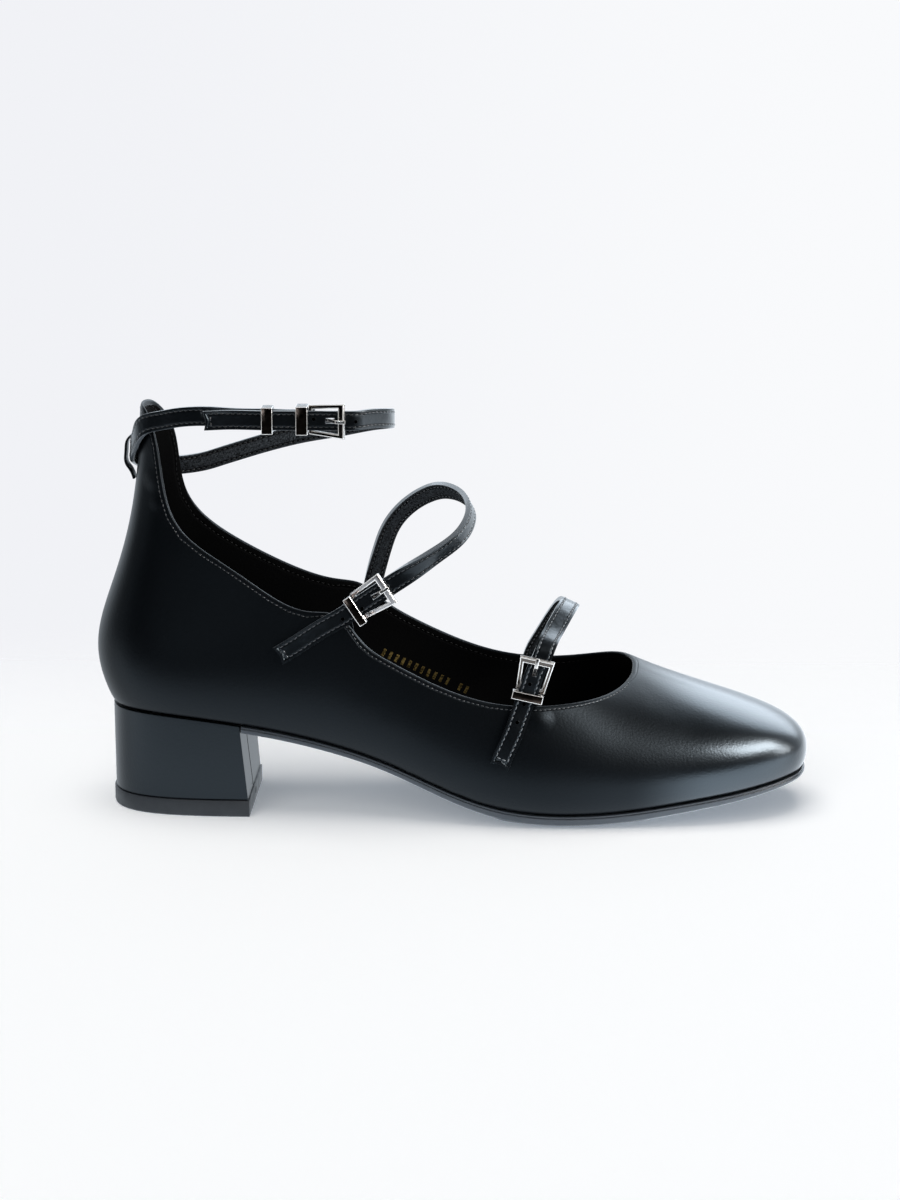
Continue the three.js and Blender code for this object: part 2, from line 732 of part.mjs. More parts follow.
// The frame is a tapered plate with a window, tilted so that the strap goes over one bar and under the other.
function frameGeometry(frame) {
  const half = { wide: buckle.wide / 2, narrow: buckle.narrow / 2 };
  const outline = new THREE.Shape([
    new THREE.Vector2(0, -half.narrow),
    new THREE.Vector2(buckle.length, -half.wide),
    new THREE.Vector2(buckle.length, half.wide),
    new THREE.Vector2(0, half.narrow),
  ]);
  outline.holes.push(
    new THREE.Path([
      new THREE.Vector2(buckle.rail, buckle.rail - half.narrow),
      new THREE.Vector2(buckle.rail, half.narrow - buckle.rail),
      new THREE.Vector2(buckle.length - buckle.frontBar, half.wide - buckle.rail - buckle.railGain),
      new THREE.Vector2(buckle.length - buckle.frontBar, buckle.rail + buckle.railGain - half.wide),
    ]),
  );
  const plate = new THREE.ExtrudeGeometry(outline, {
    depth: buckle.plate - 2 * buckle.bevel,
    bevelThickness: buckle.bevel,
    bevelSize: buckle.bevel,
    bevelOffset: -buckle.bevel,
    bevelSegments: 1,
  });
  plate.translate(0, 0, buckle.bevel - buckle.plate / 2);
  plate.rotateY(-plateTilt);
  plate.translate(0, 0, -plateShift - (buckle.rail / 2) * Math.sin(plateTilt));
  return geometryOf(solidOf(plate.applyMatrix4(frame)));
}

// Where the prong comes up through the strap, from the narrow bar.
const barInner = (buckle.length - buckle.frontBar) * Math.cos(plateTilt);
const barEdgeRise = (buckle.frontBar / 2) * Math.sin(plateTilt);
const prongHole = barInner - buckle.prongRise;

// The prong lies under the strap, comes up through its hole and rests on the front bar.
function prongGeometry(frame) {
  const under = -strapThickness / 2 - clearance - buckle.prongThick;
  const barTop = plateShift + buckle.plate / 2 + clearance + buckle.prongSeat;
  const thick = buckle.prongThick;
  const root = buckle.rail + clearance + buckle.prongRoot;
  const tip = buckle.length - buckle.prongTip;
  const knee = barInner - buckle.prongKnee;
  const side = new THREE.Shape([
    new THREE.Vector2(root, under),
    new THREE.Vector2(prongHole + thick / 2, under),
    new THREE.Vector2(knee, barTop - barEdgeRise),
    new THREE.Vector2(tip, barTop + barEdgeRise),
    new THREE.Vector2(tip, barTop + barEdgeRise + thick / 2),
    new THREE.Vector2(knee - thick / 2, barTop - barEdgeRise + thick),
    new THREE.Vector2(prongHole, under + thick),
    new THREE.Vector2(root, under + thick),
  ]);
  const prong = new THREE.ExtrudeGeometry(side, { depth: buckle.prongWidth, bevelEnabled: false });
  prong.translate(0, 0, -buckle.prongWidth / 2);
  prong.rotateX(Math.PI / 2);
  return prong.applyMatrix4(frame);
}

// A box loop round the strap, from one height to another in the buckle's frame.
function keeperGeometry(frame, from, to, low, high, width, shift = 0) {
  const length = to - from;
  const wallIn = buckle.keeperWall;
  const middle = new THREE.Vector3((from + to) / 2, shift, (low + high) / 2);
  const outer = new THREE.Vector3(length, width, high - low + 2 * wallIn);
  const window = new THREE.Vector3(2 * length, width - 2 * wallIn, high - low);
  return geometryOf(boxAt(outer, frame, middle).subtract(boxAt(window, frame, middle)));
}

const local = (frame, x, z, y = 0) => new THREE.Vector3(x, y, z).applyMatrix4(frame);
const directionOf = (frame, axis) => axis.clone().transformDirection(frame);

// A strap's hole for the prong
function pierced(geometry, frame) {
  const size = new THREE.Vector3(buckle.holeLength, buckle.prongWidth + 2 * clearance, 3 * strapThickness);
  const slot = boxAt(size, frame, new THREE.Vector3(prongHole + buckle.holeShift, 0, 0));
  return geometryOf(solidOf(geometry).subtract(slot));
}

// A stop of a band that lies on the upper, with its width turned to lie flat
function layOn(place, climb, offset, side) {
  const normal = surfaceNormal(place, climb);
  const flat = side.clone().addScaledVector(normal, -normal.dot(side));
  return { at: offSurface(place, climb, offset), side: flat };
}

const lift = clearance + strapThickness / 2; // strap's middle over what it lies on
const strapPitch = 4.5;
const anklePitch = 3.4; // shorter, for the bend round the heel tab
const smallPitch = 2.1; // for the short tabs and the loop

// A strap over the instep: a tail on the outer quarter, the buckle, a free arch, a lap on the inner quarter.
function instepStrap(spec) {
  const rimOut = offSurface(spec.rimPlace, 1, lift);
  const origin = rimOut.clone().addScaledVector(spec.along.clone().normalize(), spec.reach);
  const frame = buckleFrame(origin, spec.along, spec.away);
  const sideNear = directionOf(frame, axisY);
  const rimIn = offSurface(spec.farPlace, 1, lift);
  const stops = spec.tail.map(([place, climb]) => layOn(place, climb, lift, sideNear));
  for (const row of spec.thread) {
    stops.push({ at: local(frame, row.along * buckle.length, 0, row.slide * strapWidth), side: sideNear });
  }
  for (const row of spec.loop) {
    const at = across(rimOut, rimIn, row.across);
    at.z += row.up * spec.rise;
    at.x += row.forward * spec.rise;
    stops.push({ at, side: new THREE.Vector3(row.sideX, row.sideY, row.sideZ) });
  }
  stops.push(layOn(spec.farPlace, 1, lift, spec.farSide));
  for (const climb of [0.9, 0.78, 0.66]) {
    stops.push(layOn(spec.farPlace + (1 - climb) * spec.lapDrift, climb, lift, spec.farSide));
  }
  const band = bandGeometry(stops, strapWidth, strapThickness, strapPitch, strapNotch);
  return { geometry: pierced(band, frame), frame };
}

// The short tab that holds a buckle: up the inside of the quarter and under the narrow bar.
function buckleTab(spec, frame) {
  const inside = -wall - clearance - tabThickness / 2;
  const side = directionOf(frame, axisY);
  const barUnder = -plateShift - buckle.plate / 2 - clearance - tabThickness;
  const stops = spec.tabClimbs.map((climb) =>
    layOn(spec.rimPlace + (1 - climb) * spec.tabDrift, climb, inside, side),
  );
  stops.push({ at: local(frame, -tabBend, barUnder), side });
  stops.push({ at: local(frame, tabTuck, barUnder), side });
  return bandGeometry(stops, strapWidth, tabThickness - 2 * strapCrown, smallPitch);
}

const front = {
  rimPlace: 13.66,
  along: new THREE.Vector3(0.21, 0.06, 0.98),
  away: new THREE.Vector3(0, -1, 0.1),
  reach: 5.4,
  tail: [[13.23, 0.48], [13.31, 0.62], [13.43, 0.77], [13.51, 0.9]],
  thread: frontThreadRows,
  farPlace: 28.2,
  farSide: new THREE.Vector3(-0.95, 0, 0.3),
  keeperShift: 0.6,
  lapDrift: 0.4,
  loop: frontLoopRows,
  rise: frontRise,
  tabClimbs: [0.7, 0.8, 0.9, 0.99],
  tabDrift: 0,
};
const middle = {
  rimPlace: 9.12,
  along: new THREE.Vector3(0.83, 0.05, 0.555),
  away: new THREE.Vector3(0, -1, 0.1),
  reach: 7.2,
  tail: [[7.35, 0.625], [7.8, 0.752], [8.25, 0.853], [8.7, 0.92]],
  thread: middleThreadRows,
  farPlace: 32.45,
  farSide: new THREE.Vector3(-0.9, -0.2, 0.3),
  keeperShift: -0.7,
  lapDrift: 0.5,
  loop: middleLoopRows,
  rise: middleRise,
  tabClimbs: [0.74, 0.83, 0.92, 0.99],
  tabDrift: 1.2,
};

const tabTop = heelHeight + tabHeight;
const anklePoint = (row) => new THREE.Vector3(row.x * shoeLength, row.y * ballWidth, row.z * tabTop);
const ankleOrigin = new THREE.Vector3(0.293 * shoeLength, -0.362 * ballWidth, 0.983 * tabTop);
const ankleFrame = buckleFrame(ankleOrigin, new THREE.Vector3(1, 0, 0), new THREE.Vector3(0, -1, 0));
const layerPitch = strapThickness + layerGap; // two layers of the ankle strap, middle to middle
const underBar = plateShift + buckle.plate / 2 + lift;
const ankleThreadShares = [1.211, 1, 0.5, 0, -0.211]; // through the buckle, in shares of its length

// The ankle strap: from under its buckle's bar, round the heel tab and the ankle, back through the buckle.
function ankleStrap() {
  const upright = (at) => ({ at, side: axisZ.clone().negate() });
  const stops = [
    upright(local(ankleFrame, tabTuck, -underBar)),
    upright(local(ankleFrame, -tabBend, -underBar)),
    upright(local(ankleFrame, -2 * buckle.keeperLength, -layerPitch - layerGap)),
    ...ankleInnerRows.map((row) => upright(anklePoint(row))),
    ...ankleWrapRows.map((row) => {
      const climb = climbToHeight(row.place, row.height * tabTop, 0);
      return layOn(row.place, climb, lift + row.ease, axisZ.clone().negate());
    }),
    ...ankleFarRows.map((row) => upright(anklePoint(row))),
    ...ankleThreadShares.map((share) => upright(local(ankleFrame, share * buckle.length, 0))),
    ...ankleTailRows.map((row) => upright(anklePoint(row))),
  ];
  return pierced(bandGeometry(stops, strapWidth, strapThickness, anklePitch, strapNotch), ankleFrame);
}

// The loop on the back of the heel tab, over the ankle strap.
function tabLoop() {
  const flat = clearance + loopThickness / 2;
  const over = lift + ankleWrapRows[2].ease + strapThickness / 2 + strapCrown + clearance + loopThickness / 2;
  const stops = loopStandRows.map(({ height, stand }) => ({
    at: offSurface(0, climbToHeight(0, height * tabTop, 0), THREE.MathUtils.lerp(flat, over, stand)),
    side: axisY,
  }));
  return bandGeometry(stops, loopWidth, loopThickness - strapCrown, smallPitch);
}

// Materials
const leather = () => new THREE.MeshStandardMaterial({ color: 0x15181b, roughness: 0.35, metalness: 0 });
const lining = () => new THREE.MeshStandardMaterial({ color: 0x1b1b1c, roughness: 0.9, metalness: 0 });
const rubber = () => new THREE.MeshStandardMaterial({ color: 0x232527, roughness: 0.75, metalness: 0 });
const metal = () => new THREE.MeshStandardMaterial({ color: 0x8f9396, roughness: 0.25, metalness: 1 });

const shoe = new THREE.Group();
function addPiece(name, geometry, material) {
  const mesh = new THREE.Mesh(geometry, material);
  mesh.name = name;
  shoe.add(mesh);
}

addPiece("upper", upperGeometry(), leather());
addPiece("insole", insoleGeometry(), lining());
addPiece("outsole", outsoleGeometry(), rubber());
addPiece("heel", heelGeometry(), leather());
addPiece("heel_cap", heelCapGeometry(), rubber());

const keeperWindow = strapThickness / 2 + clearance + strapCrown;
for (const [name, spec] of [["front", front], ["middle", middle]]) {
  const strap = instepStrap(spec);
  addPiece("strap_" + name, strap.geometry, leather());
  addPiece("buckle_tab_" + name, buckleTab(spec, strap.frame), leather());
  addPiece("buckle_frame_" + name, frameGeometry(strap.frame), metal());
  addPiece("buckle_prong_" + name, prongGeometry(strap.frame), metal());
  const from = -clearance - buckle.keeperLength;
  const box = [from, -clearance, -keeperWindow, keeperWindow, buckle.keeperWidth, spec.keeperShift];
  addPiece("buckle_keeper_" + name, keeperGeometry(strap.frame, ...box), metal());
}

addPiece("strap_ankle", ankleStrap(), leather());
addPiece("tab_loop", tabLoop(), leather());
addPiece("buckle_frame_ankle", frameGeometry(ankleFrame), metal());
addPiece("buckle_prong_ankle", prongGeometry(ankleFrame), metal());
const innerReach = underBar + strapThickness / 2 + clearance;
const ankleKeeperFrom = -clearance - ankleKeeperLength;
const ankleKeeperWidth = buckle.narrow - ankleKeeperEase;
addPiece(
  "buckle_keeper_ankle",
  keeperGeometry(ankleFrame, ankleKeeperFrom, -clearance, -innerReach, keeperWindow, ankleKeeperWidth),
  metal(),
);
const sliderWindow = keeperWindow + sliderEase;
addPiece(
  "ankle_slider",
  keeperGeometry(
    ankleFrame,
    -sliderPlace,
    sliderLength - sliderPlace,
    -layerPitch - sliderWindow,
    sliderWindow,
    strapWidth + sliderRoom,
  ),
  metal(),
);

shoe.position.x = -heelFootLength / 2;

export default shoe;
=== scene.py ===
"""A black leather shoe with a block heel and three buckled straps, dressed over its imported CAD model.

Metres, +Z up, +X toward the toe, and -Y the outer side, which the camera sees.
"""

import math

import bmesh
import bpy
import numpy as np
from mathutils import Matrix, Vector
from mathutils.bvhtree import BVHTree


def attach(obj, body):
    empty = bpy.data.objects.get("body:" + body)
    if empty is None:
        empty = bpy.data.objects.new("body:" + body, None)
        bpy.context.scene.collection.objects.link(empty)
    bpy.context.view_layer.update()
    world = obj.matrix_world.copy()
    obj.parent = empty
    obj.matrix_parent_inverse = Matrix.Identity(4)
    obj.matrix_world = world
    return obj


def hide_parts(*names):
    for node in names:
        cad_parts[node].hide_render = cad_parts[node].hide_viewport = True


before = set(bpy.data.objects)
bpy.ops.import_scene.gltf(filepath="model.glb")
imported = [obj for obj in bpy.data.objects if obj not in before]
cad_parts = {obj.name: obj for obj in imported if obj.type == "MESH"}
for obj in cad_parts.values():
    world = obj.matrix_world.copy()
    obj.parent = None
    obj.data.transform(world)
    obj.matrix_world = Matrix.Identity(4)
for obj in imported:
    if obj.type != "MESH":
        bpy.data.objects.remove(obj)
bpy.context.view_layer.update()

MM = 0.001
BODY = "root"
CREASE = 50  # degrees; faces that meet more sharply lie on different sides of a piece
# How far each seam runs from its edge, and how far a strap's seam stops before the strap's ends
RIM_SEAM_MM = 1.5
LINING_SEAM_MM = 2.6
STRAP_SEAM_MM = 1.25
STRAP_SEAM_END_MM = 3.0
# The burnish of the toe sets in between these places along the shoe
BURNISH_FROM = 0.164
BURNISH_TO = 0.196
GRAIN_MM = 0.8  # real grain is about 0.2 mm, too fine to show


# Working with one piece at a time

def select_only(piece):
    bpy.ops.object.select_all(action="DESELECT")
    piece.select_set(True)
    bpy.context.view_layer.objects.active = piece


def edit(piece, *steps):
    """Runs operators in edit mode with the whole piece selected."""
    select_only(piece)
    bpy.ops.object.mode_set(mode="EDIT")
    bpy.ops.mesh.select_all(action="SELECT")
    for operator, settings in steps:
        operator(**settings)
    bpy.ops.object.mode_set(mode="OBJECT")


def modify(piece, kind, **settings):
    """Adds a modifier and applies it."""
    select_only(piece)
    modifier = piece.modifiers.new(kind.lower(), kind)
    for name, value in settings.items():
        setattr(modifier, name, value)
    bpy.ops.object.modifier_apply(modifier=modifier.name)


def subdivide(piece, levels):
    modify(piece, "SUBSURF", levels=levels, render_levels=levels)


def round_edges(piece, width, segments=2, sharper_than=35, material=-1):
    """Rounds the edges sharper than an angle in degrees. Their new faces may get a material of their own."""
    modify(piece, "BEVEL", width=width, segments=segments, limit_method="ANGLE",
           angle_limit=math.radians(sharper_than), use_clamp_overlap=True, material=material)


def shade(piece, sharper_than=None):
    """Smooth shading, with the edges kept that are sharper than an angle in degrees."""
    select_only(piece)
    if sharper_than is None:
        bpy.ops.object.shade_smooth()
    else:
        bpy.ops.object.shade_smooth_by_angle(angle=math.radians(sharper_than))


def take_over(node, name):
    """A copy of a CAD node with its double points and its triangles merged. It stands for the node."""
    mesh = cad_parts[node].data.copy()
    mesh.materials.clear()
    mesh.name = name
    piece = bpy.data.objects.new(name, mesh)
    bpy.context.scene.collection.objects.link(piece)
    select_only(piece)
    bpy.ops.mesh.customdata_custom_splitnormals_clear()
    edit(piece,
         (bpy.ops.mesh.remove_doubles, dict(threshold=1e-6)),
         (bpy.ops.mesh.tris_convert_to_quads,
          dict(face_threshold=math.radians(40), shape_threshold=math.radians(70))))
    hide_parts(node)
    return piece


def settle(piece, slot, *materials):
    """Gives a finished piece its materials and lets it ride on the shoe."""
    for material in materials:
        piece.data.materials.append(material)
    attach(piece, BODY)


# Reading a piece's shape

def sharp_loops(piece, sharper_than):
    """Closed chains of edges whose faces meet at more than an angle, as lists of points."""
    bm = bmesh.new()
    bm.from_mesh(piece.data)
    limit = math.radians(sharper_than)
    sharp = {e for e in bm.edges if len(e.link_faces) == 2 and e.calc_face_angle(0) > limit}
    loops = chains(sharp)
    found = [[v.co.copy() for v in loop] for loop in loops]
    bm.free()
    return found


def chains(edges):
    """Edges joined end to end into closed chains of vertices, in the mesh's order, so each run is alike."""
    left = dict.fromkeys(sorted(edges, key=lambda e: e.index))
    loops = []
    while left:
        edge = next(iter(left))
        del left[edge]
        loop = [edge.verts[0], edge.verts[1]]
        while True:
            following = [e for e in loop[-1].link_edges if e in left]
            if not following:
                break
            del left[following[0]]
            loop.append(following[0].other_vert(loop[-1]))
            if loop[-1] == loop[0]:
                loop.pop()
                break
        loops.append(loop)
    return loops


def length_of(points):
    return sum((b - a).length for a, b in zip(points, points[1:]))


def skin_faces(bm, seed, sharper_than):
    """The faces that join the one nearest to a point without crossing a sharp edge."""
    start = min(bm.faces, key=lambda f: (f.calc_center_median() - seed).length)
    limit = math.radians(sharper_than)
    found = {start}
    waiting = [start]
    while waiting:
        for edge in waiting.pop().edges:
            if len(edge.link_faces) != 2 or edge.calc_face_angle(0) > limit:
                continue
            for face in edge.link_faces:
                if face not in found:
                    found.add(face)
                    waiting.append(face)
    return found


def surface_of(piece):
    bm = bmesh.new()
    bm.from_mesh(piece.data)
    tree = BVHTree.FromBMesh(bm)
    bm.free()
    return tree


def mark_distance(piece, name, lines):
    """Writes each vertex's distance to the nearest of some closed chains of points, in millimetres."""
    mesh = piece.data
    points = np.empty(len(mesh.vertices) * 3)
    mesh.vertices.foreach_get("co", points)
    points = points.reshape(-1, 3)
    best = np.full(len(points), 1.0)
    for line in lines:
        starts = np.array(line)
        spans = np.roll(starts, -1, axis=0) - starts
        for start, span in zip(starts, spans):
            share = np.clip((points - start) @ span / max(span @ span, 1e-12), 0, 1)
            best = np.minimum(best, np.linalg.norm(points - start - share[:, None] * span, axis=1))
    layer = mesh.attributes.new(name, "FLOAT", "POINT")
    layer.data.foreach_set("value", best / MM)


# Materials

def linear(code):
    """A hex sRGB colour as the linear colour that a shader takes."""
    parts = [int(code[i:i + 2], 16) / 255 for i in (1, 3, 5)]
    return [c / 12.92 if c <= 0.04045 else ((c + 0.055) / 1.055) ** 2.4 for c in parts] + [1.0]


def add_node(tree, kind, settings=None, links=None):
    """Adds a node, sets its properties and sockets by name, and links sockets of others to its inputs."""
    node = tree.nodes.new("ShaderNode" + kind)
    for name, value in (settings or {}).items():
        if isinstance(name, str) and hasattr(node, name):
            setattr(node, name, value)
        else:
            node.inputs[name].default_value = value
    for name, source in (links or {}).items():
        tree.links.new(source, node.inputs[name])
    return node


def new_finish(name, colour, **sockets):
    """A material with its shader's plain values set.

    Returns the material, its tree, its shader and the place on the piece, for patterns to start from.
    """
    material = bpy.data.materials.new(name)
    material.use_nodes = True
    tree = material.node_tree
    shader = tree.nodes["Principled BSDF"]
    shader.inputs["Base Color"].default_value = linear(colour)
    for socket, value in sockets.items():
        shader.inputs[socket.replace("_", " ")].default_value = value
    place = add_node(tree, "TexCoord").outputs["Object"]
    return material, tree, shader, place


def noise(tree, place, size_mm, detail=2.0, roughness=0.5):
    return add_node(tree, "TexNoise",
                    {"Scale": 1 / (size_mm * MM), "Detail": detail, "Roughness": roughness},
                    {"Vector": place}).outputs["Fac"]


def pebbles(tree, place, smoothness):
    return add_node(tree, "TexVoronoi",
                    {"feature": "SMOOTH_F1", "Scale": 1 / (GRAIN_MM * MM), "Smoothness": smoothness},
                    {"Vector": place}).outputs["Distance"]


def blend(tree, share, low, high):
    """A colour between two hex codes."""
    return add_node(tree, "Mix", {"data_type": "RGBA", 6: linear(low), 7: linear(high)},
                    {"Factor": share}).outputs[2]


def ramp(tree, value, low, high, to_low, to_high):
    """Runs smoothly from one value to another while its source goes from low to high."""
    return add_node(tree, "MapRange",
                    {"interpolation_type": "SMOOTHSTEP", "From Min": low, "From Max": high,
                     "To Min": to_low, "To Max": to_high}, {"Value": value}).outputs["Result"]


def multiply(tree, first, second):
    return add_node(tree, "Math", {"operation": "MULTIPLY"}, {0: first, 1: second}).outputs["Value"]


def bump(tree, height, depth_mm, strength=1.0, under=None):
    links = {"Height": height}
    if under is not None:
        links["Normal"] = under
    return add_node(tree, "Bump", {"Strength": strength, "Distance": depth_mm * MM},
                    links).outputs["Normal"]


def groove(tree, centre_mm, half_width_mm):
    """1 away from a seam and 0 along it, by the piece's distance to its edge."""
    from_edge = add_node(tree, "Attribute", {"attribute_name": "from_edge"}).outputs["Fac"]
    offset = add_node(tree, "Math", {"operation": "SUBTRACT", 1: centre_mm}, {0: from_edge})
    away = add_node(tree, "Math", {"operation": "ABSOLUTE"}, {0: offset.outputs["Value"]})
    return ramp(tree, away.outputs["Value"], 0.0, half_width_mm, 0.0, 1.0)


def leather(name, seam_mm=None, seam_half_mm=0.7, seam_depth_mm=0.2, coat=0.0, rumple_mm=0.25,
            rumple_size_mm=14, dull=0.0, puckers=()):
    """Smooth calf with a pigment coat: near black and satin, with a fine grain that breaks the highlights.

    Only its toe end has the full shine. Behind that it is duller by the share that is given.
    """
    material, tree, shader, place = new_finish(name, "#030406", IOR=1.5, Specular_Tint=linear("#d6e6f2"),
                                               Coat_Weight=coat, Coat_Roughness=0.12)
    clouds = noise(tree, place, 22, 3)
    tree.links.new(blend(tree, clouds, "#020305", "#06080b"), shader.inputs["Base Color"])
    along = add_node(tree, "SeparateXYZ", None, {0: place}).outputs["X"]
    satin, gloss = 0.28, 0.5
    for socket, behind, burnished in [("Roughness", satin + dull / 3, satin),
                                      ("Specular IOR Level", gloss - dull, gloss)]:
        tree.links.new(ramp(tree, along, BURNISH_FROM, BURNISH_TO, behind, burnished),
                       shader.inputs[socket])
    surface = bump(tree, pebbles(tree, place, 1.0), 0.05, 0.6)
    surface = bump(tree, noise(tree, place, rumple_size_mm, 2), rumple_mm, 0.25, surface)
    for centre_mm, radius_mm, rise_mm in puckers:
        off = add_node(tree, "VectorMath", {"operation": "DISTANCE", 1: Vector(centre_mm) * MM}, {0: place})
        risen = ramp(tree, off.outputs["Value"], 0.0, radius_mm * MM, 1.0, 0.0)
        surface = bump(tree, risen, rise_mm, 1.0, surface)
    if seam_mm is not None:
        surface = bump(tree, groove(tree, seam_mm, seam_half_mm), seam_depth_mm, 1.0, surface)
    tree.links.new(surface, shader.inputs["Normal"])
    return material


def cut_edge(name):
    """The cut edge of a strap. Its pale grey is a painted highlight, the thin pale line that the edge shows
    where it catches the light.
    """
    material, tree, shader, place = new_finish(name, "#5e656c", Roughness=0.3, Coat_Weight=0.4)
    tree.links.new(bump(tree, noise(tree, place, 0.8, 3), 0.05, 0.5), shader.inputs["Normal"])
    return material


def napped_lining(name, colour, seam_mm=None):
    """Napped microfibre: matte, with short fibres that lift grazing light. A seam presses a groove into it,
    and the colour along the groove is painted darker as shade.
    """
    material, tree, shader, place = new_finish(name, colour, Roughness=0.92, Sheen_Weight=0.02,
                                               Sheen_Roughness=0.4, Specular_IOR_Level=0.04)
    fibres = noise(tree, place, 0.6, 4, 0.7)
    lit = ramp(tree, fibres, 0.3, 0.7, 0.0, 1.0)
    surface = bump(tree, fibres, 0.12, 0.8)
    if seam_mm is not None:
        pressed = groove(tree, seam_mm, 0.8)
        # Painted shade: the colour darkens along the seam's groove
        lit = multiply(tree, lit, pressed)
        surface = bump(tree, pressed, 0.3, 1.0, surface)
    tree.links.new(blend(tree, lit, "#020203", colour), shader.inputs["Base Color"])
    tree.links.new(surface, shader.inputs["Normal"])
    return material


def sock(name):
    """The insole's synthetic sock: matte black with a pebbled print."""
    material, tree, shader, place = new_finish(name, "#040506", Roughness=0.5, Specular_IOR_Level=0.25)
    surface = bump(tree, pebbles(tree, place, 0.5), 0.16, 0.8)
    surface = bump(tree, noise(tree, place, 12, 2), 0.6, 0.3, surface)
    tree.links.new(surface, shader.inputs["Normal"])
    return material


def rubber(name, colour, roughness):
    """Moulded rubber: dull, with a faint uneven skin."""
    material, tree, shader, place = new_finish(name, colour, Roughness=roughness, Specular_IOR_Level=0.4)
    tree.links.new(ramp(tree, noise(tree, place, 4, 4), 0.3, 0.7, roughness - 0.06, roughness + 0.08),
                   shader.inputs["Roughness"])
    surface = bump(tree, noise(tree, place, 0.7, 3), 0.04, 0.5)
    surface = bump(tree, noise(tree, place, 9, 2), 0.3, 0.2, surface)
    tree.links.new(surface, shader.inputs["Normal"])
    return material


def nickel_plate(name, colour, metallic=1.0):
    """Cast zinc with a polished nickel plate: mirror faces with faint polishing waves."""
    material, tree, shader, place = new_finish(name, colour, Metallic=metallic, Roughness=0.17)
    tree.links.new(ramp(tree, noise(tree, place, 1.5, 3), 0.3, 0.7, 0.12, 0.24), shader.inputs["Roughness"])
    tree.links.new(bump(tree, noise(tree, place, 2.2, 2), 0.05, 0.35), shader.inputs["Normal"])
    return material


def thread(name, colour, gloss=0.3):
    """Bonded polyester thread: its twisted gloss glints pale against the black leather."""
    material, tree, shader, place = new_finish(name, colour, Roughness=0.64 - gloss, Sheen_Weight=gloss,
                                               Specular_IOR_Level=0.2 + gloss)
    tree.links.new(bump(tree, noise(tree, place, 0.3, 2), 0.05, 0.6), shader.inputs["Normal"])
    return material


def foil(name):
    """Hot-stamped gold foil, worn thin in places."""
    material, tree, shader, place = new_finish(name, "#b39a5c", Metallic=1.0, Roughness=0.38)
    worn = ramp(tree, noise(tree, place, 0.7, 3), 0.35, 0.6, 0.0, 1.0)
    tree.links.new(blend(tree, worn, "#4a4028", "#c2a866"), shader.inputs["Base Color"])
    return material


# The upper is satin, with its seam pressed in near the rim and three small pulls from the last
upper_leather = leather("coated calf, stitched edge", RIM_SEAM_MM, 0.4, 0.12, dull=0.34,
                        puckers=[((133, -37, 41), 6, 0.7), ((-8, -17, 124), 5, 0.4),
                                 ((-6, -19, 116), 4, 0.3)])
# The tabs and the loop are the same calf without a seam, and the heel's wrap is stretched smoother
plain_leather = leather("coated calf", dull=0.15)
heel_leather = leather("coated calf, heel wrap", dull=0.2)
# The straps have a thin gloss coat, rumpled by the seams on both sides
strap_leather = leather("coated calf, strap", STRAP_SEAM_MM, 0.55, 0.45, 0.15, 1.2, 5, dull=0.16)
# The strap edges' pale grey is a painted highlight, the thin line of light along each edge
strap_edge_highlight = cut_edge("strap cut edge, pale painted highlight")
# The backing's pale grey is partly its own tone and partly a painted sheen of its nap
strap_backing_with_sheen = napped_lining("napped strap backing, part painted sheen", "#50565c", STRAP_SEAM_MM)
lining = napped_lining("napped lining", "#060708", LINING_SEAM_MM)
sock_skin = sock("pebbled sock")
# The sole's rubber is a paler grey than the heel's top piece
sole_rubber = rubber("moulded sole rubber", "#3f464e", 0.36)
cap_rubber = rubber("top piece rubber", "#1b1f24", 0.5)
# One nickel plate, painted in lit and shaded tones as the fittings turn to the light, and a pale painted
# highlight on its edges
nickel = nickel_plate("polished dark nickel", "#4c4743")
prong_highlight_nickel = nickel_plate("polished nickel, painted highlight", "#c2beba")
half_lit_nickel = nickel_plate("polished nickel, painted half highlight", "#8d8a8a")
brownish_shaded_nickel = nickel_plate("brownish nickel, painted deep shade", "#4a403a")
edge_highlight_nickel = nickel_plate("nickel edge, painted highlight", "#f4f2f0", 0.5)
# Painted shade: black with no shine, laid where a hole or a seam lies in shadow
hole_and_seam_shade = new_finish("matt black, painted shade in holes and seams", "#010101", Roughness=1.0, Specular_IOR_Level=0.0)[0]
# The thread is black; the paler front and middle threads are painted glints, where those straps turn up to
# the light
threads = {"strap_front": thread("bonded thread, front, painted glint", "#6c737a"),
           "strap_middle": thread("bonded thread, middle, painted glint", "#3a3f45"),
           "strap_ankle": thread("bonded thread, ankle", "#1b1f23"),
           "rim": thread("bonded thread, rim", "#1e2226"),
           "lining": thread("bonded thread, lining", "#0a0b0d", 0.0)}
gold_foil = foil("stamped gold foil")


# Stitches

def model_stitch(length, width, height):
    """One stitch: a low rounded bead that dips at both ends."""
    bpy.ops.mesh.primitive_uv_sphere_add(segments=8, ring_count=6, radius=0.5)
    stitch = bpy.context.object
    edit(stitch,
         (bpy.ops.transform.rotate, dict(value=math.pi / 2, orient_axis="Y", center_override=(0, 0, 0))),
         (bpy.ops.transform.resize, dict(value=(length, width, height))))
    return stitch


def walk(path, spacing, closed=True):
    """Points at even steps along a path, each with its direction."""
    points = path + path[:1] if closed else path
    total = length_of(points)
    count = max(1, round(total / spacing))
    marks = [(i + 0.5) * total / count for i in range(count)]
    found = []
    gone = 0.0
    for a, b in zip(points, points[1:]):
        span = (b - a).length
        while marks and marks[0] <= gone + span:
            share = (marks.pop(0) - gone) / max(span, 1e-9)
            found.append((a.lerp(b, share), (b - a).normalized()))
        gone += span
    return found


def seat(surface, at, along):
    """The nearest place on a surface, with axes along a direction, across it and out of the surface."""
    spot, normal, _, _ = surface.find_nearest(at)
    along = (along - normal * along.dot(normal)).normalized()
    return spot, Matrix((along, normal.cross(along), normal)).transposed()


